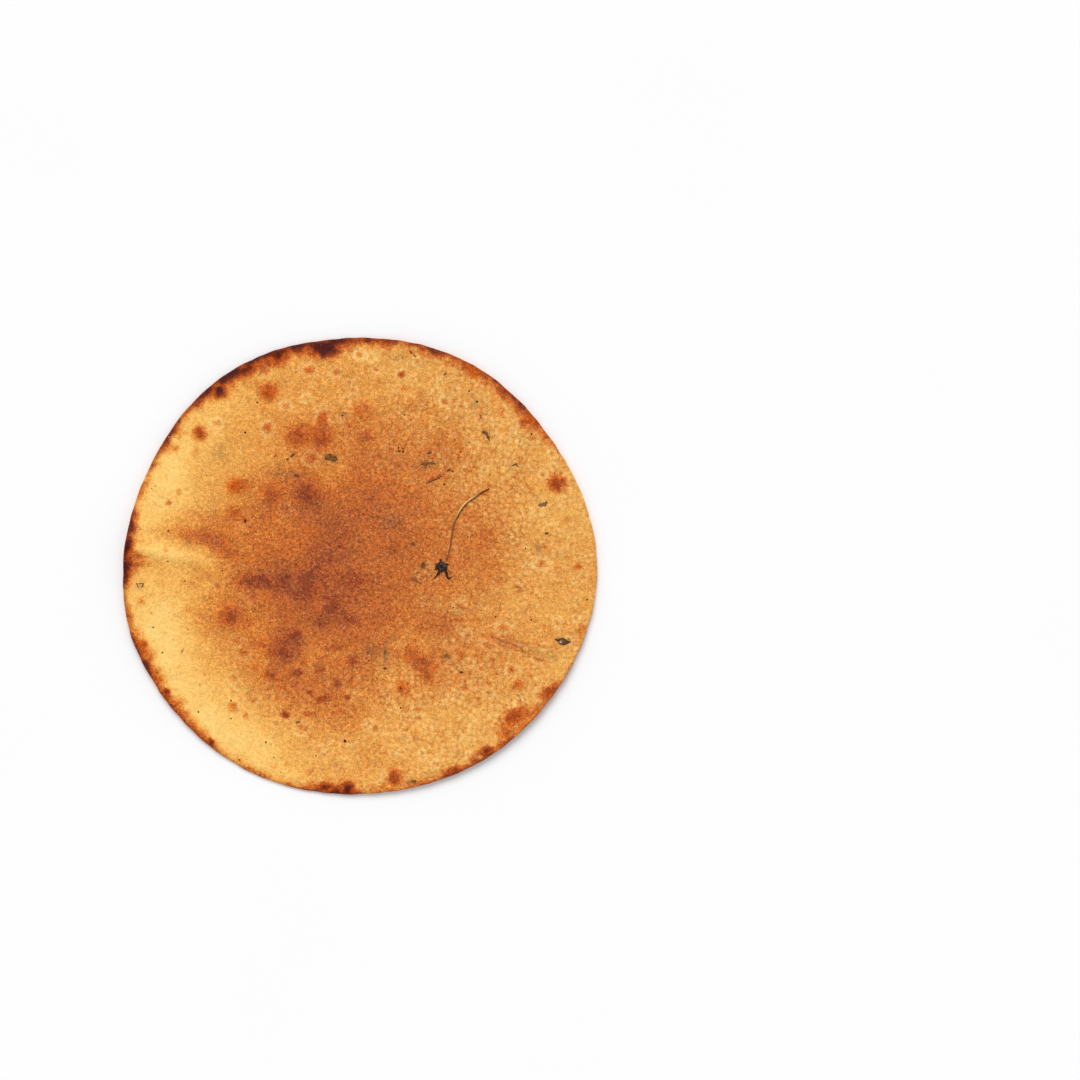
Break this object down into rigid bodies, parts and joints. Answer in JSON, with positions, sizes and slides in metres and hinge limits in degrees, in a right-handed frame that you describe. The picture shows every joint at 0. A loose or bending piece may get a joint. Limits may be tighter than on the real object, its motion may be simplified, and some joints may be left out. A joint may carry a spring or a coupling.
{
  "type": "khakhra",
  "caption": "Thin, crisp, round toasted wheat flatbread, gently warped, with browned blisters, baked-in herb flakes and a herb stem.",
  "frame": {"origin": "middle of the bread's outline box, on the plane that the bread lies on", "axes": "+Z up out of the top face, the thin way; +X and +Y lie in the bread's plane, +X to the right and +Y up as it is seen from above, with the widest way along X"},
  "size_m": [0.1794, 0.1732, 0.0046],
  "materials": {
    "toasted_dough": "matt"
  },
  "bodies": {
    "root": {"khakhra": "toasted_dough"}
  },
  "joints": []
}
